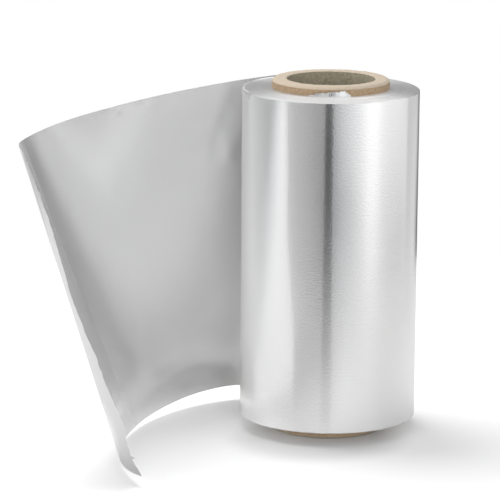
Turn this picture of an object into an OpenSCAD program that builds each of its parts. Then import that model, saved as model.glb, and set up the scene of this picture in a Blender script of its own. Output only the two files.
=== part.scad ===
// Roll of aluminium foil on a cardboard core. It stands on one end of the core,
// and its free end is peeled off, flared out and torn.
// Millimetres, +Z up the core's axis, origin at the centre of the core's lower end.

/* [Cardboard core] */
// Inside diameter of the core
core_bore = 32; // [28:0.5:40]
// Thickness of the core's wall
core_wall = 5.2; // [3:0.1:7]
// Overall length of the core
core_length = 128.8; // [127:0.2:140]
// Rounding of the core's outer edges, top and bottom
core_edge = 0.5; // [0.2:0.1:1]

/* [Wound foil] */
// Width of the foil, which is the height of the standing roll of foil
foil_width = 120; // [114:1:121]
// Thickness of the foil wound on the core
wound = 10.8; // [8:0.2:20]
// Length of core left bare below the foil
bare_core = 4.8; // [4.6:0.1:6]
// How far the innermost turns stand above the outermost ones
telescope = 0.7; // [0.2:0.1:1.5]
// Bevel that handling has worn on the outermost turn's edges
worn_rim = 0.4; // [0.2:0.1:0.8]

/* [Free end] */
// Thickness of the sheet, thicker than real foil so that it is a sound solid
sheet = 0.3; // [0.2:0.05:0.5]
// Plan angle at which the sheet leaves the roll, counted from +X
leave_angle = 78; // [60:1:100]
// How far the leaving sheet stands above the wound turns
proud = 0.5; // [0.4:0.1:1]
// First bend, where the lower edge peels off the roll: length along the lower edge
peel_low = 38; // [34:1:42]
// First bend: length along the upper edge
peel_high = 9; // [7:0.5:12]
// First bend: degrees turned
peel_turn = 10.5; // [8:0.5:14]
// Second bend, where the upper edge comes off too: length along the lower edge
crease_low = 8; // [6:0.5:12]
// Second bend: length along the upper edge
crease_high = 21; // [18:0.5:24]
// Second bend: degrees turned
crease_turn = 34; // [30:0.5:38]
// Third bend, where the upper edge swings out: length along the lower edge
flare_low = 21; // [18:1:25]
// Third bend: length along the upper edge
flare_high = 92; // [84:1:96]
// Third bend: degrees turned
flare_turn = 21; // [18:0.5:24]
// Fourth bend, which turns the sheet to the front: length along the lower edge
sweep_low = 34; // [30:1:40]
// Fourth bend: length along the upper edge
sweep_high = 34; // [30:1:40]
// Fourth bend: degrees turned
sweep_turn = 24.5; // [20:0.5:28]
// Fifth bend, which curls up to the torn edge: length along the lower edge
curl_low = 80; // [60:1:84]
// Fifth bend: length along the upper edge
curl_high = 17; // [14:0.5:24]
// Fifth bend: degrees turned
curl_turn = 44; // [38:0.5:48]
// Deepest bite of the torn edge into the sheet
tear_depth = 7.4; // [3:0.2:9]

/* [Scrap at the core] */
// Height of the torn scrap that stands on the end face beside the core
scrap_height = 2; // [1:0.1:2.5]
// Gap between the scrap and the core
scrap_gap = 0.9; // [0.5:0.1:3]
// Plan angle at which the scrap starts, counted from +X
scrap_start = 248; // [200:1:270]
// Plan angle that the scrap covers
scrap_sweep = 40; // [20:1:60]

/* [Hidden] */
$fn = 180;

core_r = core_bore / 2 + core_wall;
roll_r = core_r + wound;
foil_top = bare_core + foil_width;

// Largest turn of the sheet from one fold line to the next, in degrees
fold_step = 4;
// Fold lines that follow the wound turns before the sheet leaves them
tucked_lines = 3;
// Turn about the roll, and depth into it, from one tucked line to the next
tuck_angle = 4;
tuck_depth = 0.3;
// Fold lines next to the tear that are drawn in to follow it
tear_lines = 3;
// Torn edge: share of the foil's width from the lower edge, and share of the
// deepest bite that is torn away there
tear = [[0, 0.27], [0.025, 0], [0.055, 0.35], [0.1, 0.5], [0.125, 0.05], [0.17, 0.32],
        [0.3, 0.5], [0.38, 0.38], [0.45, 0.57], [0.545, 1], [0.6, 0.7], [0.7, 0.3],
        [0.78, 0.03], [0.9, 0.1], [0.96, 0], [1, 0.38]];
// Ragged top of the scrap from its left end to its right, as shares of its height
rags = [0.05, 0.25, 0.2, 0.6, 0.55, 0.7, 0.6, 0.8, 0.75, 0.95, 0.85, 1, 0.9, 0.75, 0.1];
// Depth to which the scrap is caught between the turns
scrap_root = 0.8;

function unit(v) = v / norm(v);

// A vector turned about a unit axis
function turned(v, axis, angle) =
    v * cos(angle) + cross(axis, v) * sin(angle) + axis * (axis * v) * (1 - cos(angle));

// A point on the circle of a radius about the core's axis
function around(radius, angle, z) = [radius * cos(angle), radius * sin(angle), z];

// Height of the upper end face, which rises from the rim to the core
function face_z(radius) = foil_top + telescope * (roll_r - radius) / (roll_r - core_r);

// The bends in order: along the lower edge, along the upper edge, degrees turned
bends = [
    [peel_low, peel_high, peel_turn],
    [crease_low, crease_high, crease_turn],
    [flare_low, flare_high, flare_turn],
    [sweep_low, sweep_high, sweep_turn],
    [curl_low, curl_high, curl_turn]
];

// Each bend cut into even steps
steps = [for (bend = bends)
    let (count = ceil(bend[2] / fold_step))
    for (i = [1:count]) bend / count];

function turn_at(i) = i < 0 || i >= len(steps) ? 0 : steps[i][2];

// Fold lines of the free sheet: lower end, upper end, outward normal, and how far
// along the flat sheet the two ends lie. The sheet is flat between its fold lines,
// so it unrolls without stretching.
function folds(i, low, high, corner, along, across) =
    let (lower = corner + along * low)
    let (upper = corner + along * high + across * foil_width)
    let (axis = unit(upper - lower))
    let (turn = (turn_at(i - 1) + turn_at(i)) / 2)
    let (new_along = turned(along, axis, turn))
    let (new_across = turned(across, axis, turn))
    let (normal = unit(cross(along, across) + cross(new_along, new_across)))
    concat(
        [[lower, upper, normal, low, high]],
        i == len(steps) ? [] : folds(i + 1, low + steps[i][0], high + steps[i][1],
                                     lower - new_along * low, new_along, new_across)
    );

// Fold lines before the sheet leaves the roll, sunk in the wound turns
tucked = [for (k = [tucked_lines:-1:1])
    let (angle = leave_angle - tuck_angle * k)
    [around(roll_r - tuck_depth * k, angle, bare_core + proud),
     around(roll_r - tuck_depth * k, angle, foil_top + proud), around(1, angle, 0), 0, 0]];

free = folds(0, 0, 0, around(roll_r, leave_angle, bare_core + proud),
             [-sin(leave_angle), cos(leave_angle), 0], [0, 0, 1]);
last = len(free) - 1;

// Distance along the flat sheet of a fold line, at a share of the width
function reach(i, share) = free[i][3] + (free[i][4] - free[i][3]) * share;

// Point and normal between fold lines i and i + 1, a share of the way up and along
function between(i, share, part) =
    let (from = free[i])
    let (to = free[i + 1])
    [(from[0] * (1 - share) + from[1] * share) * (1 - part)
        + (to[0] * (1 - share) + to[1] * share) * part,
     unit(from[2] * (1 - part) + to[2] * part)];

// Point and normal at a distance along the flat sheet, on its last few fold lines
function on_sheet(distance, share, i) =
    i + 1 < last && distance > reach(i + 1, share)
        ? on_sheet(distance, share, i + 1)
        : between(i, share, (distance - reach(i, share)) / (reach(i + 1, share) - reach(i, share)));

// Rows of points up the sheet, one for each point of the torn edge
function row_of(line) =
    [for (t = tear) [line[0] * (1 - t[0]) + line[1] * t[0], line[2]]];
function torn_row(k) =
    let (first = last - tear_lines)
    [for (t = tear)
        let (start = reach(first, t[0]))
        let (end = reach(last, t[0]) - t[1] * tear_depth)
        on_sheet(start + (end - start) * k / tear_lines, t[0], first)];

// A sheet from a grid of [point, outward normal], thickened evenly to both sides
module film(grid) {
    rows = len(grid[0]);
    size = len(grid) * rows;
    outer = [for (column = grid) for (p = column) p[0] + p[1] * sheet / 2];
    inner = [for (column = grid) for (p = column) p[0] - p[1] * sheet / 2];
    ends = [len(grid) - 1, rows - 1];
    cells = [for (i = [0:ends[0] - 1]) for (j = [0:ends[1] - 1]) i * rows + j];
    rim = concat(
        [for (i = [0:1:ends[0] - 1]) i * rows],
        [for (j = [0:1:ends[1] - 1]) ends[0] * rows + j],
        [for (i = [ends[0]:-1:1]) i * rows + ends[1]],
        [for (j = [ends[1]:-1:1]) j]
    );
    polyhedron(
        points = concat(outer, inner),
        faces = concat(
            [for (c = cells) each [[c, c + 1, c + rows + 1], [c, c + rows + 1, c + rows]]],
            [for (c = cells) each [[c + size, c + size + rows + 1, c + size + 1],
                                   [c + size, c + size + rows, c + size + rows + 1]]],
            [for (k = [0:len(rim) - 1])
                let (a = rim[k])
                let (b = rim[(k + 1) % len(rim)])
                each [[a, b, b + size], [a, b + size, a + size]]]
        )
    );
}

module free_end() {
    film(concat(
        [for (line = tucked) row_of(line)],
        [for (i = [0:last - tear_lines]) row_of(free[i])],
        [for (k = [1:tear_lines]) torn_row(k)]
    ));
}

module scrap() {
    radius = core_r + scrap_gap + sheet / 2;
    film([for (k = [0:len(rags) - 1])
        let (angle = scrap_start + scrap_sweep * k / (len(rags) - 1))
        [for (z = [-scrap_root, scrap_height * rags[k]])
            [around(radius, angle, face_z(radius) + z), around(1, angle, 0)]]]);
}

module wound_turns() {
    rotate_extrude()
        polygon([[core_r, bare_core + telescope], [roll_r - worn_rim, bare_core],
                 [roll_r, bare_core + worn_rim], [roll_r, foil_top - worn_rim],
                 [roll_r - worn_rim, foil_top], [core_r, foil_top + telescope]]);
}

module foil() {
    color("silver")
        union() {
            wound_turns();
            free_end();
            scrap();
        }
}

// Section of the core's wall with its two outer corners rounded
module wall_section() {
    translate([core_bore / 2, 0])
        square([core_wall - core_edge, core_length]);
    translate([core_bore / 2, core_edge])
        square([core_wall, core_length - 2 * core_edge]);
    for (z = [core_edge, core_length - core_edge])
        translate([core_r - core_edge, z])
            circle(core_edge);
}

module cardboard_core() {
    color("tan")
        rotate_extrude()
            wall_section();
}

cardboard_core();
foil();
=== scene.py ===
"""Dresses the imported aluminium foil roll: the wound foil with its pulled-off end, and the
cardboard core that it is wound on."""

import math
import random

import bmesh
import bpy
from mathutils import Matrix, Quaternion, Vector, noise


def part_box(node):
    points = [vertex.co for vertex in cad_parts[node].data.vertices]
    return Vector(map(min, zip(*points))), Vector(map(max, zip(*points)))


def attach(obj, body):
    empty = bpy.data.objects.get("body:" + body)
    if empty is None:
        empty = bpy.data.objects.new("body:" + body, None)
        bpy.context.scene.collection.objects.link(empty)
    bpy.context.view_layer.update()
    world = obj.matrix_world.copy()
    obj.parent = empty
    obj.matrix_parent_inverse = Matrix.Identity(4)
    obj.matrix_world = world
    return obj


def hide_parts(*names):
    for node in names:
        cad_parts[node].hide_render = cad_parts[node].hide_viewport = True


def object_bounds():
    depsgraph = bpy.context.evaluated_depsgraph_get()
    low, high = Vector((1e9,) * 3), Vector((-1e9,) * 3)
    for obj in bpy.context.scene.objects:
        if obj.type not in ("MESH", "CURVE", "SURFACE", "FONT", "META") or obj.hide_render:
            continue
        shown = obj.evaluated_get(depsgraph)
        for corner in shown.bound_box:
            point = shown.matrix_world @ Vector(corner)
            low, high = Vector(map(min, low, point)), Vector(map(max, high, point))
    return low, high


bl_info = {
    "name": "Aluminium foil roll",
    "version": (1, 0, 0),
    "blender": (4, 5, 0),
    "location": "3D View > Sidebar > Foil roll",
    "description": "Models a standing roll of aluminium foil with its end pulled off and torn",
    "category": "Object",
}

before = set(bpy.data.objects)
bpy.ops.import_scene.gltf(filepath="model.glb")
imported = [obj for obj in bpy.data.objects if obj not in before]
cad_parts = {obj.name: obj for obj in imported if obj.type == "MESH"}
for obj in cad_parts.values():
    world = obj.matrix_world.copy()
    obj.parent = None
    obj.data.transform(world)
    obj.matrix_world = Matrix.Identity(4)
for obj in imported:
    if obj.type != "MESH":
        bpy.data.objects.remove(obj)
CAD_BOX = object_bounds()
CORE_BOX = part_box("cardboard_core")
FOIL_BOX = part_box("foil")

MM = 0.001
# faces that meet at less than this angle are shaded as one smooth surface
SMOOTH_BELOW = math.radians(35)
# UV map of the foil, in metres on the flat strip: u along it and v across it
STRIP = "strip"


def srgb(code):
    """A hex colour such as #c8a27b as linear red, green, blue and alpha."""
    parts = [int(code[i : i + 2], 16) / 255 for i in (1, 3, 5)]
    return tuple([p / 12.92 if p <= 0.04045 else ((p + 0.055) / 1.055) ** 2.4 for p in parts] + [1.0])


# ---------------------------------------------------------------- sizes and colours


def length(name, description, default):
    """A size in metres, shown in the scene's own unit."""
    return bpy.props.FloatProperty(
        name=name, description=description, default=default, min=0, unit="LENGTH", precision=5
    )


def colour(name, description, code):
    """A colour given as a hex code."""
    return bpy.props.FloatVectorProperty(
        name=name, description=description, default=srgb(code), size=4, min=0, max=1, subtype="COLOR"
    )


class FoilRollSizes(bpy.types.PropertyGroup):
    """The sizes of the core, the wound turns, the free end and the scrap"""

    core_bore: length("Core bore", "Radius of the hole through the cardboard core", 16 * MM)
    core_radius: length("Core radius", "Outer radius of the cardboard core", CORE_BOX[1].x)
    core_length: length("Core length", "Length of the cardboard core", CORE_BOX[1].z)
    core_edge: length("Core edge", "Rounding at the core's cut ends", 0.5 * MM)
    roll_radius: length("Roll radius", "Outer radius of the wound foil", FOIL_BOX[1].x)
    foil_low: length("Foil's lower edge", "Height at which the wound foil starts", 4.8 * MM)
    foil_width: length("Foil width", "Width of the foil strip", 120 * MM)
    telescope: length("Telescoping", "How far the innermost turns stand above the rim", 0.7 * MM)
    worn_rim: length("Worn rim", "Rounding of the roll's outer rims", 0.4 * MM)
    sheet: length("Sheet thickness", "Thickness of the free end, drawn thicker than real foil", 0.06 * MM)
    proud: length("Sheet rise", "How far the free end sits above the wound turns' lower edge", 0.5 * MM)
    tear_depth: length("Tear depth", "Deepest bite torn out of the free end", 7.4 * MM)
    scrap_height: length("Scrap height", "Height of the torn scrap beside the core", 2.0 * MM)


class FoilRollColours(bpy.types.PropertyGroup):
    """The colours of the foil, the cardboard and the table top"""

    foil: colour("Foil", "Bare aluminium foil", "#f5f5f5")
    slit: colour("Slit edges", "The slit edges of the wound turns", "#e5e5e5")
    core_side: colour("Core side", "Brown liner of the cardboard core", "#b59e83")
    core_cut: colour("Core cut end", "Pale fibres of the core's cut end", "#b7ab9d")
    core_bore: colour("Core bore", "Grey-brown liner inside the bore", "#b0a997")
    floor: colour("Table top", "The white table top that the roll stands on", "#e2e2e2")


class FoilRollStudio(bpy.types.PropertyGroup):
    """How strong the studio's light is"""

    lamp: bpy.props.FloatProperty(
        name="Overhead lamp", description="Power of the soft lamp overhead", default=3.9, min=0, unit="POWER"
    )
    sky: bpy.props.FloatProperty(
        name="Room light", description="Strength of the even light from all round", default=0.6, min=0, max=2
    )


# ---------------------------------------------------------------- modelling by hand, in code


def fresh():
    """Leaves edit mode with nothing selected, as before each new primitive."""
    if bpy.context.object and bpy.context.object.mode != "OBJECT":
        bpy.ops.object.mode_set(mode="OBJECT")
    bpy.ops.object.select_all(action="DESELECT")


def only(obj):
    """Selects one object, and nothing else, as the active one."""
    fresh()
    obj.select_set(True)
    bpy.context.view_layer.objects.active = obj


def edit(obj, kind):
    """Enters edit mode on one object, to work on its VERT, EDGE or FACE elements."""
    only(obj)
    bpy.ops.object.mode_set(mode="EDIT")
    bpy.ops.mesh.select_mode(type=kind)
    bpy.ops.mesh.select_all(action="DESELECT")


def pick(obj, kind, test):
    """In edit mode, selects the vertices, edges or faces that pass a test."""
    bpy.ops.mesh.select_all(action="DESELECT")
    shape = bmesh.from_edit_mesh(obj.data)
    for part in {"VERT": shape.verts, "EDGE": shape.edges, "FACE": shape.faces}[kind]:
        if test(part):
            part.select_set(True)
    shape.select_flush_mode()
    bmesh.update_edit_mesh(obj.data)


def settle(obj):
    """Puts the piece's place, turn and size into its mesh."""
    only(obj)
    bpy.ops.object.transform_apply(location=True, rotation=True, scale=True)


def modified(obj, kind, **settings):
    """Adds a modifier with its settings and applies it."""
    only(obj)
    modifier = obj.modifiers.new(kind.title(), kind)
    for name, value in settings.items():
        setattr(modifier, name, value)
    bpy.ops.object.modifier_apply(modifier=modifier.name)


def smooth(obj):
    """Shades an object smooth, but keeps its corners."""
    only(obj)
    bpy.ops.object.shade_smooth_by_angle(angle=SMOOTH_BELOW)


def soft_noise(x, y, z):
    """Smooth noise between about -1 and 1."""
    return noise.noise(Vector((x, y, z)))


def plan_angle(p):
    """Angle about the core's axis seen from above, from 0 to a full turn."""
    return math.atan2(p.y, p.x) % math.tau


def upright(edge):
    """Whether an edge runs up the side of a tube."""
    return abs(edge.verts[0].co.z - edge.verts[1].co.z) > 10 * MM


def ring_uvs(obj):
    """UVs of the wound turns: u runs round the axis, v up the side or out along an end face."""
    layer = obj.data.uv_layers.new(name=STRIP)
    for face in obj.data.polygons:
        middle = plan_angle(face.center)
        flat = abs(face.normal.z) > 0.7
        for loop in face.loop_indices:
            p = obj.data.vertices[obj.data.loops[loop].vertex_index].co
            turn = plan_angle(p)
            if turn - middle > math.pi:
                turn -= math.tau
            if middle - turn > math.pi:
                turn += math.tau
            radius = math.hypot(p.x, p.y)
            layer.data[loop].uv = (turn * radius, radius if flat else p.z)


def strip_uvs(obj, flat):
    """UVs of a sheet, from each vertex's place on the flat strip."""
    layer = obj.data.uv_layers.new(name=STRIP)
    for loop in obj.data.loops:
        layer.data[loop.index].uv = flat[loop.vertex_index]
    obj.data.update()


def unit_grid(columns, rows):
    """A grid from 0 to 1 along X and Y, to be bent into a sheet."""
    fresh()
    bpy.ops.mesh.primitive_grid_add(
        x_subdivisions=columns, y_subdivisions=rows, size=1, location=(0.5, 0.5, 0), calc_uvs=False
    )
    obj = bpy.context.object
    settle(obj)
    return obj


def thicken(obj, skins, thickness, offset):
    """Gives a sheet its materials, the second one for its other side, and its thickness."""
    for material in skins:
        obj.data.materials.append(material)
    modified(obj, "SOLIDIFY", thickness=thickness, offset=offset, use_even_offset=False, material_offset=1)


# ---------------------------------------------------------------- the wound turns

# one turn stands proud of the upper end face part of the way round: degrees of its middle,
# degrees over which it fades, degrees to each side where its inner side shows, and its height
RIDGE_AT, RIDGE_FADE, RIDGE_BARE, RIDGE_RISE = 165, 40, 38, 0.4 * MM
# depth of the soft hollows and swells in the winding, and of the ridges on the end faces
SWELL, RIPPLE = 0.035 * MM, 0.16 * MM


def wound_turns(sizes):
    """The turns on the core: a tube whose end faces are stepped like the slit edges of many turns."""
    roll, core, low = sizes.roll_radius, sizes.core_radius, sizes.foil_low
    top = low + sizes.foil_width
    # rings of the end face, steps of its worn rim, and millimetres that a ring may stand off
    rings, rim_steps, uneven = 30, 2, 0.07
    step = (roll - sizes.worn_rim - core) / rings
    fresh()
    bpy.ops.mesh.primitive_cylinder_add(
        vertices=240, radius=roll, depth=sizes.foil_width, location=(0, 0, (low + top) / 2)
    )
    obj = bpy.context.object
    obj.name = "foil_strip"
    settle(obj)
    edit(obj, "EDGE")
    pick(obj, "EDGE", upright)
    bpy.ops.mesh.subdivide(number_cuts=17)
    chance = random.Random(11)
    bpy.ops.mesh.select_mode(type="FACE")
    for up, rim in ((1, top), (-1, low)):
        pick(obj, "FACE", lambda f: abs(f.calc_center_median().z - rim) < 0.01 * MM and abs(f.normal.z) > 0.9)
        # the worn rim: the last turn's edge is rolled over
        for _ in range(rim_steps):
            bpy.ops.mesh.inset(thickness=sizes.worn_rim / rim_steps, use_even_offset=False)
        # the slit edges: no two turns stand quite as high as each other
        for _ in range(rings):
            bpy.ops.mesh.inset(thickness=step, use_even_offset=False)
            rise = sizes.telescope / rings * up + chance.uniform(-uneven, uneven) * MM
            bpy.ops.transform.translate(value=(0, 0, rise))
    pick(obj, "FACE", lambda f: len(f.verts) > 8)
    bpy.ops.mesh.bridge_edge_loops()
    bpy.ops.object.mode_set(mode="OBJECT")
    wear(obj, sizes)
    return obj


def wear(obj, sizes):
    """Rolls the rims over, and lets the turns stand unevenly where the roll was knocked."""
    roll, core, low = sizes.roll_radius, sizes.core_radius, sizes.foil_low
    top = low + sizes.foil_width
    rim = sizes.worn_rim
    for vertex in obj.data.vertices:
        p = vertex.co
        radius = math.hypot(p.x, p.y)
        turn = plan_angle(p)
        out = Vector((p.x / radius, p.y / radius, 0))
        # soft hollows and swells in the winding, too slight to measure but plain in a reflection
        if radius > roll - 0.01 * MM and low + 1 * MM < p.z < top - 1 * MM:
            vertex.co = p - out * (SWELL * (1 + soft_noise(2 * out.x, 2 * out.y, 12 * p.z)))
            continue
        for up, edge in ((1, top), (-1, low)):
            if abs(p.z - edge) < 3 * MM:
                # the rolled rim, with small nicks in it
                if radius > roll - rim * 0.75:
                    worn = 0.75 + 0.5 * soft_noise(9 * out.x, 9 * out.y, 3.0 + up)
                    worn += 0.5 * max(soft_noise(60 * out.x, 60 * out.y, 5.0 + up) - 0.25, 0)
                    vertex.co.z -= up * rim * worn * (1 if radius > roll - rim * 0.25 else 0.4)
                # ridges that run part of the way round
                far = (radius - core) / (roll - core)
                if 0.03 < far < 0.96:
                    vertex.co.z += up * RIPPLE * soft_noise(1.3 * out.x, 1.3 * out.y, 900 * radius)
        if abs(p.z - top) < 3 * MM and roll - 0.9 * MM < radius < roll - 0.1 * MM:
            ridge = math.exp(-(((math.degrees(turn) - RIDGE_AT) / RIDGE_FADE) ** 4))
            vertex.co.z += RIDGE_RISE * ridge * (1 if radius < roll - 0.3 * MM else 0.6)


# ---------------------------------------------------------------- the free end

# bends of the free sheet in order: millimetres along its lower edge, along its
# upper edge, degrees turned
BENDS = ((38, 9, 10.5), (8, 21, 34), (21, 92, 21), (34, 34, 24.5), (80, 17, 44))
# where it leaves the roll, as an angle about the core's axis
LEAVES_AT = math.radians(78)
# lines across the last turn before it leaves the roll, and the angle from one to the next
LEAD_LINES, LEAD_STEP = 26, math.radians(1.5)

# torn edge: share of the width from the lower edge, share of the tear's depth
TEAR = (
    (0, 0.03), (0.02, 0.2), (0.031, 0.44), (0.05, 0.44), (0.055, 0), (0.06, 0.44), (0.1, 0.42), (0.125, 0.18),
    (0.134, 0), (0.176, 0), (0.2, 0.16), (0.25, 0.34), (0.29, 0.4), (0.298, 0.54), (0.305, 0.34), (0.33, 0.48),
    (0.36, 0.34), (0.385, 0.47), (0.42, 0.7), (0.48, 0.78), (0.545, 0.95), (0.6, 0.66), (0.7, 0.28), (0.78, 0.02),
    (0.86, 0.06), (0.87, -0.12), (0.875, 0.1), (0.968, 0.1), (0.976, -0.14), (0.982, 0.1), (1, 0.36),
)
# the upper corner is worn off: share of the width, millimetres along the sheet where it
# starts, and millimetres over which it grows
WORN_OFF, WORN_FROM, WORN_OVER = 0.011, 160, 10

# handling marks on the free end: millimetres along it, share of the width up,
# radius along and up in millimetres, and depth towards its outer side
DENTS = (
    (44, 0.95, 4.5, 7, 0.35), (48.6, 0.88, 3.5, 6, 0.3), (52.7, 0.82, 2.5, 5, 0.22), (46.9, 0.775, 3, 4, -0.3),
    (44.6, 0.858, 1.6, 1.8, 0.2), (69.8, 0.78, 1.2, 4, -0.06), (100.5, 0.562, 1.6, 2.2, 0.08),
    (94.6, 0.471, 1.8, 2.4, 0.09), (95.2, 0.633, 2.4, 3, 0.1), (102.3, 0.742, 2, 2.6, -0.05),
    (94.4, 0.775, 2.2, 2.6, 0.05), (80.9, 0.704, 1, 1.2, 0.05), (92, 0.3, 1.1, 12, 0.05),
    (95.5, 0.16, 1.1, 9, 0.05), (103.3, 0.995, 2.4, 1.4, -0.25), (100.5, 0.978, 1.3, 1, 0.16),
    (87, 0.985, 2.4, 1, 0.15), (79.7, 0.963, 2, 1.6, 0.12), (62.4, 0.05, 9, 3, 0.25), (79.4, 0.1, 8, 3, 0.15),
)


def between(points, x):
    """Height of a broken line of (x, y) points at x."""
    for (x0, y0), (x1, y1) in zip(points, points[1:]):
        if x <= x1:
            return y0 + (y1 - y0) * (x - x0) / (x1 - x0)
    return points[-1][1]


def fold_lines(sizes):
    """Straight lines across the free sheet: the flat distance of both ends, and where the ends
    lie once it is bent."""
    steps = []
    for low, high, turn in BENDS:
        count = max(math.ceil(turn / 1.2), math.ceil(max(low, high) / 1.5))
        steps += [[low * MM / count, high * MM / count, math.radians(turn) / count] for _ in range(count)]
    # the turning is evened out, so that one bend runs into the next
    turns = [s[2] for s in steps]
    for _ in range(40):
        turns = [(turns[max(i - 1, 0)] + 2 * t + turns[min(i + 1, len(turns) - 1)]) / 4 for i, t in enumerate(turns)]
    along = Vector((-math.sin(LEAVES_AT), math.cos(LEAVES_AT), 0))
    across = Vector((0, 0, 1))
    roll = sizes.roll_radius
    corner = Vector((roll * math.cos(LEAVES_AT), roll * math.sin(LEAVES_AT), sizes.foil_low + sizes.proud))
    # the lead-in: the last turn rises out of the roll before it leaves
    lines = []
    for k in range(LEAD_LINES, 0, -1):
        angle = LEAVES_AT - LEAD_STEP * k
        back = k / LEAD_LINES
        radius = roll + 0.012 * MM - 0.2 * MM * back**2
        height = corner.z - 1.2 * sizes.proud * back**0.5
        foot = Vector((radius * math.cos(angle), radius * math.sin(angle), height))
        flat = -LEAD_STEP * k * roll
        lines.append((flat, flat, foot, foot + across * sizes.foil_width))
    low = high = 0.0
    for i in range(len(steps) + 1):
        lower = corner + along * low
        upper = corner + along * high + across * sizes.foil_width
        lines.append((low, high, lower, upper))
        before = turns[i - 1] if i else 0
        after = turns[i] if i < len(turns) else 0
        bend = Matrix.Rotation((before + after) / 2, 3, (upper - lower).normalized())
        along, across = bend @ along, bend @ across
        corner = lower - along * low
        if i < len(steps):
            low, high = low + steps[i][0], high + steps[i][1]
    return lines


def on_sheet(lines, distance, part):
    """Point of the bent sheet at a flat distance along it and a share of its width up."""
    low, high = 0, len(lines) - 1
    while high - low > 1:
        middle = (low + high) // 2
        if lines[middle][0] * (1 - part) + lines[middle][1] * part <= distance:
            low = middle
        else:
            high = middle
    a, b = lines[low], lines[low + 1]
    start = a[0] * (1 - part) + a[1] * part
    end = b[0] * (1 - part) + b[1] * part
    ahead = (distance - start) / (end - start)
    return a[2].lerp(a[3], part).lerp(b[2].lerp(b[3], part), ahead)


def free_end(sizes, skins):
    """The pulled-off end: a flat strip with a torn edge, bent along straight lines."""
    columns, rows = 130, 200
    lines = fold_lines(sizes)
    start = lines[0][0]
    obj = unit_grid(columns, rows)
    chance = random.Random(5)
    # the tear runs in straight rips of a few millimetres, each ending in a small step
    rips = [(0.0, 0.0), (0.03, 0.0)]
    while rips[-1][0] < 1:
        rips.append((rips[-1][0] + chance.uniform(0.015, 0.05), chance.uniform(0.6, 1.3)))
        rips.append((rips[-1][0] + 0.004, chance.uniform(0, 0.2)))
    ragged = [between(rips, k / rows) * MM + chance.uniform(0, 0.1) * MM * (k > 5) for k in range(rows + 1)]
    flat = []
    for vertex in obj.data.vertices:
        across, up = vertex.co.x, vertex.co.y
        end = lines[-1][0] * (1 - up) + lines[-1][1] * up
        end -= sizes.tear_depth * between(TEAR, up) + ragged[round(up * rows)]
        # columns are spread so that they are finer towards the torn edge
        distance = start + (end - start) * (1 - (1 - across) ** 1.15)
        worn = WORN_OFF * up * min(max(distance / MM - WORN_FROM, 0) / WORN_OVER, 1) ** 2
        flat.append((distance, up * sizes.foil_width))
        vertex.co = on_sheet(lines, distance, up - worn)
    strip_uvs(obj, flat)
    dent(obj, sizes, flat)
    thicken(obj, skins, sizes.sheet, -1)
    return obj


def dent(obj, sizes, flat):
    """Marks the free end as hands do: slight waves all over it, and small dents."""
    normals = [vertex.normal.copy() for vertex in obj.data.vertices]
    for vertex, normal in zip(obj.data.vertices, normals):
        along, up = flat[vertex.index]
        if along < 0:
            continue
        push = 0.05 * MM * soft_noise(along * 60, up * 35, 1.7) * min(along / (10 * MM), 1)
        for at, share_up, wide, tall, depth in DENTS:
            far = ((along - at * MM) / (wide * MM)) ** 2 + ((up - share_up * sizes.foil_width) / (tall * MM)) ** 2
            if far < 9:
                push += depth * MM * math.exp(-far)
        vertex.co += normal * push
        # the foremost corner stays within the solid's box
        vertex.co.y = max(vertex.co.y, CAD_BOX[0][1] + 0.1 * MM)
    obj.data.update()


# ---------------------------------------------------------------- the scrap beside the core

# where the scrap runs beside the core, how far out from it, how deep it goes down into the
# winding, and how thick it is drawn
SCRAP_FROM, SCRAP_TO = math.radians(248.5), math.radians(288.5)
SCRAP_OUT, SCRAP_BURIED, SCRAP_THICK = 1.05 * MM, 0.8 * MM, 0.12 * MM
# its height from one end to the other, as shares of its full height
RAGS = (0.05, 0.25, 0.2, 0.6, 0.55, 0.7, 0.6, 0.8, 0.75, 0.95, 0.85, 1, 0.9, 0.75, 0.1)


def scrap(sizes, skins):
    """The strip of an inner turn left standing beside the core, with a serrated upper edge."""
    columns, rows = 96, 6
    obj = unit_grid(columns, rows)
    chance = random.Random(3)
    radius = sizes.core_radius + SCRAP_OUT
    far = (radius - sizes.core_radius) / (sizes.roll_radius - sizes.core_radius)
    face = sizes.foil_low + sizes.foil_width + sizes.telescope * (1 - far)
    profile = [(k / (len(RAGS) - 1), rag) for k, rag in enumerate(RAGS)]
    teeth = [chance.uniform(-0.07, 0.07) * (1 + 1.2 * (k > 0.7 * columns)) for k in range(columns + 1)]
    lean = [chance.uniform(-0.05, 0.05) * MM for _ in range(columns + 1)]
    flat = []
    for vertex in obj.data.vertices:
        part, up = vertex.co.x, vertex.co.y
        k = round(part * columns)
        angle = SCRAP_FROM + (SCRAP_TO - SCRAP_FROM) * part
        tall = sizes.scrap_height * max(between(profile, part) + teeth[k], 0.03)
        z = -SCRAP_BURIED + (SCRAP_BURIED + tall) * up
        out = radius + (lean[k] * up + 0.12 * MM * math.sin(21 * part)) * up
        flat.append((angle * radius, sizes.foil_width + z))
        vertex.co = (out * math.cos(angle), out * math.sin(angle), face + z)
    strip_uvs(obj, flat)
    thicken(obj, skins, SCRAP_THICK, 0)
    return obj


# ---------------------------------------------------------------- the cardboard core


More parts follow.
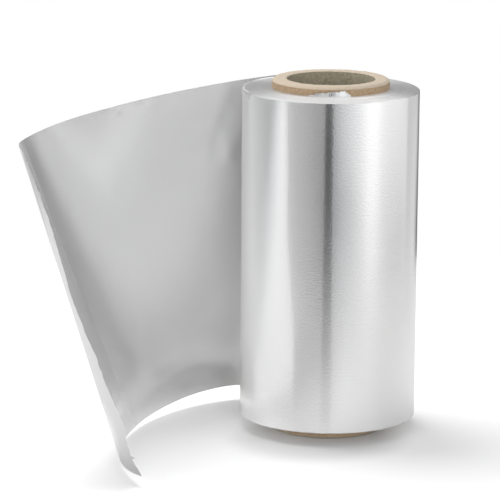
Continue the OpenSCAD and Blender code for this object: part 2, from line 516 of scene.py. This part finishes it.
def cardboard_core(sizes):
    """The core: a spiral-wound paperboard tube whose plies show at its cut ends."""
    plies, cuts = 11, 11
    radius, bore = sizes.core_radius, sizes.core_bore
    fresh()
    bpy.ops.mesh.primitive_cylinder_add(
        vertices=180, radius=radius, depth=sizes.core_length, location=(0, 0, sizes.core_length / 2)
    )
    obj = bpy.context.object
    obj.name = "paperboard_core"
    settle(obj)
    edit(obj, "FACE")
    pick(obj, "FACE", lambda f: abs(f.normal.z) > 0.9)
    for _ in range(plies):
        bpy.ops.mesh.inset(thickness=(radius - bore) / plies, use_even_offset=False)
    pick(obj, "FACE", lambda f: len(f.verts) > 8)
    bpy.ops.mesh.bridge_edge_loops(number_cuts=cuts)
    bpy.ops.mesh.select_mode(type="EDGE")
    pick(obj, "EDGE", lambda e: upright(e) and e.verts[0].co.xy.length > radius * 0.99)
    bpy.ops.mesh.subdivide(number_cuts=cuts)
    bpy.ops.object.mode_set(mode="OBJECT")
    # the cut ends: a worn rounding at both edges and, on the upper one, plies that were not cut level
    for vertex in obj.data.vertices:
        p = vertex.co
        up = 1 if p.z > sizes.core_length / 2 else -1
        if min(p.z, sizes.core_length - p.z) > 0.1 * MM:
            continue
        out = p.xy.length
        # the bore's edge is only broken, the outer one is crushed further down
        for inward, wide in ((out - bore, sizes.core_edge), (radius - out, 2.6 * sizes.core_edge)):
            edge = max(0.0, 1 - inward / wide)
            p.z -= up * 0.75 * wide * edge * edge
        if up > 0 and out > bore + 0.01 * MM:
            rough = soft_noise(p.x * 420, p.y * 420, 3.0) + 0.6 * soft_noise(p.x * 1300, p.y * 1300, 7.0)
            p.z -= 0.11 * MM * max(1 + rough, 0)
    obj.data.update()
    return obj


# ---------------------------------------------------------------- finishes


def add(tree, kind, settings=None, **inputs):
    """Adds a node with its settings, and sets or links its inputs by name. In a name, _ is a space,
    and __0 and __1 are the first and second of the same name. A node stands for its first output."""
    node = tree.nodes.new(kind)
    for name, value in (settings or {}).items():
        setattr(node, name, value)
    for name, value in inputs.items():
        words = name.split("__")
        found = [s for s in node.inputs if s.name.replace(" ", "_").lower() == words[0].lower() and s.enabled]
        if not found:
            raise RuntimeError(f"{kind} has no input {name}")
        socket = found[int(words[1]) if len(words) > 1 else 0]
        if isinstance(value, bpy.types.Node):
            value = next(s for s in value.outputs if s.enabled)
        if isinstance(value, bpy.types.NodeSocket):
            tree.links.new(value, socket)
        else:
            socket.default_value = value
    return node


def finish(name):
    """A new material with an empty node tree."""
    material = bpy.data.materials.new(name)
    material.use_nodes = True
    material.node_tree.nodes.clear()
    return material, material.node_tree


def foil_skin(name, tone, roughness, spread, grain, shine=1.0, mottle=0.03):
    """Cold-rolled aluminium foil. The rolls leave fine lines along the strip, which draw every
    reflection out across them, so the eye reads soft upright bands with crisp sides."""
    material, tree = finish(name)
    place = add(tree, "ShaderNodeUVMap", {"uv_map": STRIP})
    # rolling lines: real ones are a few hundredths of a millimetre apart, drawn 0.35 mm apart to show
    lines_at = add(tree, "ShaderNodeMapping", Vector=place, Scale=(25, 2800, 1))
    lines = add(tree, "ShaderNodeTexNoise", Vector=lines_at, Scale=1.0, Detail=2.0)
    # the grain of the rolled skin, drawn 0.7 mm across to show
    speckle_at = add(tree, "ShaderNodeMapping", Vector=place, Scale=(1300, 1400, 1))
    speckle = add(tree, "ShaderNodeTexNoise", Vector=speckle_at, Scale=1.0, Detail=1.0)
    height = add(
        tree, "ShaderNodeMath", {"operation": "MULTIPLY_ADD"}, Value__0=speckle, Value__1=grain, Value__2=lines
    )
    bump = add(tree, "ShaderNodeBump", Strength=1.0, Distance=0.007 * MM, Height=height)
    shown = add(
        tree, "ShaderNodeMapRange", Value=speckle, From_Min=0.35, From_Max=0.65, To_Min=1 - mottle, To_Max=1.0
    )
    tinted = add(tree, "ShaderNodeMix", {"data_type": "RGBA", "blend_type": "MULTIPLY"}, Factor=1.0, A=tone, B=shown)
    # patches handled more or less, 20 mm across
    patch_at = add(tree, "ShaderNodeMapping", Vector=place, Scale=(50, 30, 1))
    patch = add(tree, "ShaderNodeTexNoise", Vector=patch_at, Scale=1.0, Detail=3.0)
    rough = add(
        tree, "ShaderNodeMapRange", Value=patch, From_Min=0.3, From_Max=0.7, To_Min=roughness * 0.85,
        To_Max=roughness * 1.15,
    )
    tangent = add(tree, "ShaderNodeTangent", {"direction_type": "UV_MAP", "uv_map": STRIP})
    skin = add(
        tree, "ShaderNodeBsdfPrincipled", Base_Color=tinted, Metallic=shine, Roughness=rough,
        Anisotropic=spread, Anisotropic_Rotation=0.25, Normal=bump, Tangent=tangent,
    )
    add(tree, "ShaderNodeOutputMaterial", Surface=skin)
    return material


def slit_edges(name, tone):
    """The slit edges of hundreds of turns. Each is a ring too thin to see, so the face shines
    in rays that point to the lamps, as a spun pan does."""
    material, tree = finish(name)
    place = add(tree, "ShaderNodeUVMap", {"uv_map": STRIP})
    # turns: a real one is 0.02 mm thick, drawn 0.25 mm apart to show
    turns_at = add(tree, "ShaderNodeMapping", Vector=place, Scale=(18, 4000, 1))
    turns = add(tree, "ShaderNodeTexNoise", Vector=turns_at, Scale=1.0, Detail=2.0)
    bump = add(tree, "ShaderNodeBump", Strength=0.5, Distance=0.08 * MM, Height=turns)
    tangent = add(tree, "ShaderNodeTangent", {"direction_type": "UV_MAP", "uv_map": STRIP})
    edges = add(
        tree, "ShaderNodeBsdfPrincipled", Base_Color=tone, Metallic=1.0, Roughness=0.45,
        Anisotropic=0.7, Anisotropic_Rotation=0.25, Normal=bump, Tangent=tangent,
    )
    add(tree, "ShaderNodeOutputMaterial", Surface=edges)
    return material


def paperboard(name, tone, dark, scale):
    """Recycled paperboard. Short fibres lie all ways in it, so up close it is mottled and matt."""
    material, tree = finish(name)
    place = add(tree, "ShaderNodeTexCoord").outputs["Object"]
    # clumps of fibres: single ones are too fine to show, so they are drawn 0.6 to 0.8 mm across
    fibres = add(tree, "ShaderNodeTexNoise", Vector=place, Scale=scale, Detail=4.0, Roughness=0.6)
    mottled = add(tree, "ShaderNodeMapRange", Value=fibres, From_Min=0.35, From_Max=0.7)
    shade = add(tree, "ShaderNodeMix", {"data_type": "RGBA"}, Factor=mottled, A=dark, B=tone)
    # dark flecks of the old paper in it, about half a millimetre apart
    flecks = add(tree, "ShaderNodeTexVoronoi", Vector=place, Scale=scale * 1.4).outputs["Distance"]
    dots = add(tree, "ShaderNodeMapRange", Value=flecks, From_Min=0.0, From_Max=0.16, To_Min=0.55, To_Max=1.0)
    spotted = add(tree, "ShaderNodeMix", {"data_type": "RGBA", "blend_type": "MULTIPLY"}, Factor=1.0, A=shade, B=dots)
    bump = add(tree, "ShaderNodeBump", Strength=0.6, Distance=0.2 * MM, Height=fibres)
    board = add(tree, "ShaderNodeBsdfPrincipled", Base_Color=spotted, Roughness=0.9, Normal=bump)
    add(tree, "ShaderNodeOutputMaterial", Surface=board)
    return material


# ---------------------------------------------------------------- the two pieces


class FOILROLL_OT_foil(bpy.types.Operator):
    """Model the foil: the wound turns, the free end and the scrap, as one strip"""

    bl_idname = "foilroll.foil"
    bl_label = "Wound foil and free end"

    def execute(self, context):
        sizes, colours = context.scene.foil_roll_sizes, context.scene.foil_roll_colours
        bright = foil_skin("Aluminium foil bright side", colours.foil, roughness=0.19, spread=0.8, grain=4.0)
        inner = foil_skin(
            "Aluminium foil inner side", colours.foil, roughness=0.235, spread=0.7, grain=0.85,
            shine=0.7, mottle=0.01,
        )
        skins = (bright, inner, slit_edges("Aluminium foil slit edges", colours.slit))
        turns = wound_turns(sizes)
        ring_uvs(turns)
        for material in skins:
            turns.data.materials.append(material)
        for face in turns.data.polygons:
            face.material_index = 2 if abs(face.normal.z) > 0.5 else 0
            # the turn that stands proud of the end face shows its inner side
            far = sizes.roll_radius - face.center.xy.length
            from_ridge = abs(math.degrees(plan_angle(face.center)) - RIDGE_AT)
            if face.center.z > 100 * MM and 0.2 * MM < far < 1.1 * MM and from_ridge < RIDGE_BARE:
                face.material_index = 1
        tail = free_end(sizes, skins)
        rag = scrap(sizes, skins)
        fresh()
        for piece in (turns, tail, rag):
            piece.select_set(True)
        context.view_layer.objects.active = turns
        bpy.ops.object.join()
        smooth(turns)
        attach(turns, "root")
        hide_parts("foil")
        return {"FINISHED"}


class FOILROLL_OT_core(bpy.types.Operator):
    """Model the cardboard core"""

    bl_idname = "foilroll.core"
    bl_label = "Cardboard core"

    def execute(self, context):
        sizes, colours = context.scene.foil_roll_sizes, context.scene.foil_roll_colours
        obj = cardboard_core(sizes)
        for name, tone, dark, scale in (
            ("Paperboard brown liner", colours.core_side, "#9a8265", 1300),
            ("Paperboard cut end", colours.core_cut, "#a99b87", 1800),
            ("Paperboard bore liner", colours.core_bore, "#8f8773", 1300),
        ):
            obj.data.materials.append(paperboard(name, tone, srgb(dark), scale))
        middle = (sizes.core_radius + sizes.core_bore) / 2
        for face in obj.data.polygons:
            if abs(face.normal.z) > 0.5:
                face.material_index = 1
            elif face.center.xy.length < middle:
                face.material_index = 2
        smooth(obj)
        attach(obj, "root")
        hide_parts("cardboard_core")
        return {"FINISHED"}


# ---------------------------------------------------------------- the studio

TABLE_RADIUS = 0.3
ROOM_RADIUS, ROOM_HEIGHT, ROOM_MIDDLE = 0.45, 0.56, 0.12
# how bright the room round the table is, by degrees to the right of the camera: a window wall
# on the right, white walls, and dark gaps between them
ROOM = (
    (-180, 0.14), (-168, 0.24), (-158, 0.9), (-135, 1.05), (-124, 0.33), (-112, 0.14), (-98, 0.16), (-86, 0.54),
    (-72, 0.86), (-58, 0.68), (-42, 0.56), (-24, 0.48), (-6, 0.33), (5, 0.4), (12, 0.52), (20, 0.66), (37, 0.95),
    (50, 1.3), (62, 1.3), (70, 1.05), (84, 0.94), (114, 0.9), (117, 0.56), (123, 0.62), (147, 0.72), (158, 0.22),
    (180, 0.14),
)
# the same at the height of the table's edge
ROOM_LOW = (
    (-180, 0.1), (-168, 0.17), (-158, 0.57), (-135, 0.64), (-124, 0.2), (-112, 0.1), (-98, 0.13), (-86, 0.38),
    (-72, 0.6), (-52, 0.6), (-44, 0.5), (-24, 0.3), (-6, 0.14), (6, 0.2), (14, 0.31), (24, 0.39), (40, 0.6),
    (49, 0.77), (57, 0.8), (67, 0.63), (80, 0.54), (98, 0.54), (140, 0.75), (158, 0.17), (180, 0.1),
)
# and above the roll
ROOM_ABOVE = (
    (-180, 0.4), (-120, 0.53), (-60, 0.6), (-46, 0.4), (-18, 0.4), (2, 0.6), (14, 1.15), (55, 1.25), (92, 1.2),
    (108, 0.8), (125, 0.64), (138, 0.3), (165, 0.3), (180, 0.4),
)
# the level that a colour of 1 stands for in the ramps made of them
PEAK = 1.6
# the window's cool light: degrees where it starts and ends, and its tint
WINDOW_FROM, WINDOW_TO, WINDOW_TINT = 3, 30, (0.95, 0.975, 1)

# spots of painted light and shade on the table top: place, distances from it between which the strength changes, the
# strength inside and outside them, and how it changes
TABLE_SPOTS = {
    # painted shade: the foil sees the table greyer here
    "front left": ((-0.045, -0.15, 0.0), 0.045, 0.095, 0.2, 0.0, "LINEAR"),
    # painted light: a glow that only the foil sees, right in front of the roll
    "front": ((0.006, -0.072, 0.0), 0.03, 0.1, 0.2, 0.0, "LINEAR"),
    # painted light: a glow on the table inside the curl of the free end, where the curl would gather light
    "curl": ((-0.052, -0.01, 0.0), 0.02, 0.05, 0.32, 0.0, "LINEAR"),
    # painted shadow: the camera's white fades out at the foot of the roll, deepening its shadow there
    "foot": ((-0.004, -0.021, 0.0), 0.02, 0.037, 0.0, 0.17, "SMOOTHSTEP"),
}

# across, the middle of the dark card that paints a dark stripe into the roll's reflection
PAINTED_STRIPE_X = -0.0013

# the camera stands 1.2 m away, a little above the roll, and is rolled by half a degree
CAMERA_EYE, CAMERA_AIM = Vector((0, -1.21451, 0.32353)), Vector((-0.02864, 0, 0.06498))
CAMERA_ROLL, CAMERA_LENS = math.radians(0.4814), 245.9
LAMPS_AIM = Vector((0, 0, 0.06))


def only_foil_sees(obj):
    """Hides a card from all but reflections, so that it only shows in the foil."""
    for kind in ("camera", "diffuse", "shadow", "transmission", "volume_scatter"):
        setattr(obj, "visible_" + kind, False)


def reflected_card(name, place, tilt, scale):
    """An upright or tilted card that only the foil's reflections show."""
    fresh()
    bpy.ops.mesh.primitive_plane_add(size=1, location=place, rotation=(math.radians(tilt), 0, 0))
    obj = bpy.context.object
    obj.name = name
    obj.scale = scale
    settle(obj)
    only_foil_sees(obj)
    return obj


def table_top(tone):
    """A round white table top, pure white to the camera except in the roll's shadow, which a painted shadow deepens
    at the roll's foot; the foil sees it greyer, with painted shade and painted glow in spots.
    """
    fresh()
    bpy.ops.mesh.primitive_circle_add(vertices=96, radius=TABLE_RADIUS, fill_type="NGON")
    floor = bpy.context.object
    floor.name = "floor"
    material, tree = finish("White table top")
    rays = add(tree, "ShaderNodeLightPath").outputs
    place = add(tree, "ShaderNodeTexCoord").outputs["Object"]
    spots = {}
    for name, (middle, near, far, inside, outside, change) in TABLE_SPOTS.items():
        away = add(tree, "ShaderNodeVectorMath", {"operation": "DISTANCE"}, Vector__0=place, Vector__1=middle)
        spots[name] = add(
            tree, "ShaderNodeMapRange", {"interpolation_type": change}, Value=away.outputs["Value"],
            From_Min=near, From_Max=far, To_Min=inside, To_Max=outside,
        )
    # the foil sees all of it a little grey, a duller table than the white ground, and its left half greyer, which is
    # painted shade
    across = add(tree, "ShaderNodeSeparateXYZ", Vector=place).outputs["X"]
    left = add(tree, "ShaderNodeMapRange", Value=across, From_Min=-0.02, From_Max=0.1, To_Min=0.28, To_Max=0.14)
    grey = add(tree, "ShaderNodeMath", {"operation": "ADD"}, Value__0=left, Value__1=spots["front left"])
    grey = add(tree, "ShaderNodeMath", {"operation": "MULTIPLY"}, Value__0=rays["Is Glossy Ray"], Value__1=grey)
    shade = add(tree, "ShaderNodeMix", {"data_type": "RGBA"}, Factor=grey, A=tone, B=(0.0, 0.0, 0.0, 1.0))
    matt = add(tree, "ShaderNodeBsdfDiffuse", Color=shade)
    # to the camera: the white ground, faded by the painted shadow at the roll's foot, plus a little of the painted
    # glow in the curl
    to_camera = add(
        tree, "ShaderNodeMath", {"operation": "MULTIPLY_ADD"}, Value__0=spots["curl"], Value__1=0.12,
        Value__2=spots["foot"],
    )
    # to the foil: the painted glow in front of the roll and in the curl
    to_others = add(
        tree, "ShaderNodeMath", {"operation": "MULTIPLY_ADD"}, Value__0=spots["front"],
        Value__1=rays["Is Glossy Ray"], Value__2=spots["curl"],
    )
    seen = add(tree, "ShaderNodeMix", Factor=rays["Is Camera Ray"], A=to_others, B=to_camera)
    glow = add(tree, "ShaderNodeEmission", Strength=seen)
    lit = add(tree, "ShaderNodeAddShader", Shader__0=matt, Shader__1=glow)
    add(tree, "ShaderNodeOutputMaterial", Surface=lit)
    floor.data.materials.append(material)


def room_walls():
    """The room beyond the table, which only the shiny foil sees."""
    fresh()
    bpy.ops.mesh.primitive_cylinder_add(
        vertices=128, radius=ROOM_RADIUS, depth=ROOM_HEIGHT, end_fill_type="NOTHING", location=(0, 0, ROOM_MIDDLE)
    )
    room = bpy.context.object
    settle(room)
    room.name = "room_walls"
    only_foil_sees(room)
    material, tree = finish("Studio walls")
    place = add(tree, "ShaderNodeTexCoord").outputs["Object"]
    spot = add(tree, "ShaderNodeSeparateXYZ", Vector=place).outputs
    # degrees to the right of the camera, as a share of the whole turn that the ramps cover
    near = add(tree, "ShaderNodeMath", {"operation": "MULTIPLY"}, Value__0=spot["Y"], Value__1=-1.0)
    turn = add(tree, "ShaderNodeMath", {"operation": "ARCTAN2"}, Value__0=spot["X"], Value__1=near)
    part = add(tree, "ShaderNodeMapRange", Value=turn, From_Min=-math.pi, From_Max=math.pi)
    ramps = []
    for levels in (ROOM_LOW, ROOM, ROOM_ABOVE):
        ramp = add(tree, "ShaderNodeValToRGB", Fac=part)
        stops = ramp.color_ramp.elements
        stops[0].position, stops[1].position = 0, 1
        for _ in range(len(levels) - 2):
            stops.new(0.5)
        for stop, (degrees, bright) in zip(stops, levels):
            stop.position = (degrees + 180) / 360
            tint = WINDOW_TINT if WINDOW_FROM < degrees < WINDOW_TO else (1, 1, 1)
            stop.color = [bright * channel / PEAK for channel in tint] + [1]
        ramps.append(ramp)
    # going up, each of the three runs into the next
    low, middle, above = ramps
    height = add(tree, "ShaderNodeMapRange", Value=spot["Z"], From_Min=-0.02, From_Max=0.04)
    walls = add(tree, "ShaderNodeMix", {"data_type": "RGBA"}, Factor=height, A=low, B=middle)
    height = add(tree, "ShaderNodeMapRange", Value=spot["Z"], From_Min=0.05, From_Max=0.12)
    walls = add(tree, "ShaderNodeMix", {"data_type": "RGBA"}, Factor=height, A=walls, B=above)
    glow = add(tree, "ShaderNodeEmission", Color=walls, Strength=PEAK)
    add(tree, "ShaderNodeOutputMaterial", Surface=glow)
    room.data.materials.append(material)


def reflector():
    """A tall reflector behind the roll, which draws the bright fan on its end face."""
    card = reflected_card("reflector", (0.0, 0.75, 0.95), -45, (0.6, 0.75, 1))
    material, tree = finish("White reflector")
    place = add(tree, "ShaderNodeTexCoord").outputs["Object"]
    across = add(tree, "ShaderNodeSeparateXYZ", Vector=place).outputs["X"]
    aside = add(tree, "ShaderNodeMath", {"operation": "ABSOLUTE"}, Value__0=across)
    power = add(tree, "ShaderNodeMapRange", Value=aside, From_Min=0.05, From_Max=0.2, To_Min=0.85, To_Max=1.9)
    glow = add(tree, "ShaderNodeEmission", Color=(1.0, 1.0, 1.0, 1.0), Strength=power)
    add(tree, "ShaderNodeOutputMaterial", Surface=glow)
    card.data.materials.append(material)


def dark_gap():
    """A narrow dark card close in front of the roll, which only the foil sees: it paints a dark stripe into the
    roll's reflection, fading out lower down.
    """
    # a dark card that only the foil sees, close in front of the roll: a painted dark stripe in its reflection
    stripe_card = reflected_card("dark_gap", (PAINTED_STRIPE_X, -0.062, 0.065), 90, (0.016, 0.15, 1))
    material, tree = finish("Painted dark stripe card")
    place = add(tree, "ShaderNodeTexCoord").outputs["Object"]
    spot = add(tree, "ShaderNodeSeparateXYZ", Vector=place).outputs
    aside = add(tree, "ShaderNodeMath", {"operation": "ADD"}, Value__0=spot["X"], Value__1=-PAINTED_STRIPE_X)
    aside = add(tree, "ShaderNodeMath", {"operation": "ABSOLUTE"}, Value__0=aside)
    # its sides are softer lower down, and it is fainter there
    blur = add(tree, "ShaderNodeMapRange", Value=spot["Z"], From_Min=0.02, From_Max=0.09, To_Min=0.007, To_Max=0.0046)
    within = add(
        tree, "ShaderNodeMapRange", {"interpolation_type": "SMOOTHSTEP"}, Value=aside, From_Min=0.0032,
        From_Max=blur, To_Min=1.0, To_Max=0.0,
    )
    dark = add(tree, "ShaderNodeMapRange", Value=spot["Z"], From_Min=0.015, From_Max=0.09, To_Min=0.12, To_Max=0.72)
    dark = add(tree, "ShaderNodeMath", {"operation": "MULTIPLY"}, Value__0=dark, Value__1=within)
    clear = add(tree, "ShaderNodeBsdfTransparent")
    black = add(tree, "ShaderNodeEmission", Color=(0.02, 0.02, 0.02, 1.0), Strength=1.0)
    veil = add(tree, "ShaderNodeMixShader", Fac=dark, Shader__0=clear, Shader__1=black)
    add(tree, "ShaderNodeOutputMaterial", Surface=veil)
    stripe_card.data.materials.append(material)


def room_light(strength):
    """Even room light, and white wherever the camera or the foil looks past the walls."""
    world = bpy.data.worlds.new("Studio room")
    bpy.context.scene.world = world
    world.use_nodes = True
    tree = world.node_tree
    tree.nodes.clear()
    rays = add(tree, "ShaderNodeLightPath").outputs
    seen = rays["Is Camera Ray"]
    for ray in ("Is Glossy Ray", "Is Transmission Ray"):
        seen = add(tree, "ShaderNodeMath", {"operation": "MAXIMUM"}, Value__0=seen, Value__1=rays[ray])
    level = add(tree, "ShaderNodeMapRange", Value=seen, To_Min=strength, To_Max=1.0)
    light = add(tree, "ShaderNodeBackground", Color=(1.0, 1.0, 1.0, 1.0), Strength=level)
    add(tree, "ShaderNodeOutputWorld", Surface=light)


def soft_lamps(overhead):
    """Soft lamps, which the foil doesn't reflect: a large one overhead to the left and a little
    behind, one low on the left, which lights the core and the table to the right of it, and one
    just below the camera."""
    for name, place, size, power in (
        ("overhead_lamp", (-0.2, 0.165, 0.7), 0.4, overhead),
        ("side_lamp", (-0.9, 0.05, 0.32), 0.4, 2.0),
        ("front_lamp", (0.1, -1.1, 0.28), 0.6, 5.4),
    ):
        fresh()
        bpy.ops.object.light_add(type="AREA", location=place)
        lamp = bpy.context.object
        lamp.name = name
        lamp.data.shape = "DISK"
        lamp.data.size = size
        lamp.data.energy = power
        lamp.visible_glossy = False
        lamp.rotation_euler = (LAMPS_AIM - lamp.location).to_track_quat("-Z", "Y").to_euler()


def photo_camera():
    """The camera, where the photo's was."""
    turn = (CAMERA_EYE - CAMERA_AIM).to_track_quat("Z", "Y") @ Quaternion((0, 0, 1), CAMERA_ROLL)
    bpy.ops.object.camera_add(location=CAMERA_EYE, rotation=turn.to_euler())
    camera = bpy.context.object
    camera.data.sensor_width = 36
    camera.data.lens = CAMERA_LENS
    camera.data.clip_start, camera.data.clip_end = 0.05, 20
    bpy.context.scene.camera = camera


class FOILROLL_OT_studio(bpy.types.Operator):
    """Set up the floor, the walls that the foil reflects, the light and the camera"""

    bl_idname = "foilroll.studio"
    bl_label = "Studio"

    def execute(self, context):
        scene = context.scene
        table_top(scene.foil_roll_colours.floor)
        room_walls()
        reflector()
        dark_gap()
        room_light(scene.foil_roll_studio.sky)
        soft_lamps(scene.foil_roll_studio.lamp)
        photo_camera()
        scene.view_settings.view_transform = "Standard"
        # the sheet and the roll face each other, and bare metal hands the light on many times
        scene.cycles.glossy_bounces = 16
        scene.cycles.max_bounces = 24
        return {"FINISHED"}


# ---------------------------------------------------------------- panel and registration


class FOILROLL_PT_panel(bpy.types.Panel):
    """The roll's sizes, colours and steps in the sidebar"""

    bl_label = "Foil roll"
    bl_idname = "FOILROLL_PT_panel"
    bl_space_type = "VIEW_3D"
    bl_region_type = "UI"
    bl_category = "Foil roll"

    def draw(self, context):
        column = self.layout.column()
        scene = context.scene
        for group in (scene.foil_roll_sizes, scene.foil_roll_colours, scene.foil_roll_studio):
            for name in group.bl_rna.properties.keys():
                if name not in ("rna_type", "name"):
                    column.prop(group, name)
        for step in (FOILROLL_OT_foil, FOILROLL_OT_core, FOILROLL_OT_studio):
            column.operator(step.bl_idname)


CLASSES = (
    FoilRollSizes,
    FoilRollColours,
    FoilRollStudio,
    FOILROLL_OT_foil,
    FOILROLL_OT_core,
    FOILROLL_OT_studio,
    FOILROLL_PT_panel,
)


def register():
    for cls in CLASSES:
        bpy.utils.register_class(cls)
    bpy.types.Scene.foil_roll_sizes = bpy.props.PointerProperty(type=FoilRollSizes)
    bpy.types.Scene.foil_roll_colours = bpy.props.PointerProperty(type=FoilRollColours)
    bpy.types.Scene.foil_roll_studio = bpy.props.PointerProperty(type=FoilRollStudio)


def unregister():
    for name in ("foil_roll_sizes", "foil_roll_colours", "foil_roll_studio"):
        delattr(bpy.types.Scene, name)
    for cls in reversed(CLASSES):
        bpy.utils.unregister_class(cls)


def main():
    """Builds the roll and its studio."""
    register()
    bpy.ops.foilroll.foil()
    bpy.ops.foilroll.core()
    bpy.ops.foilroll.studio()


if __name__ == "__main__":
    main()
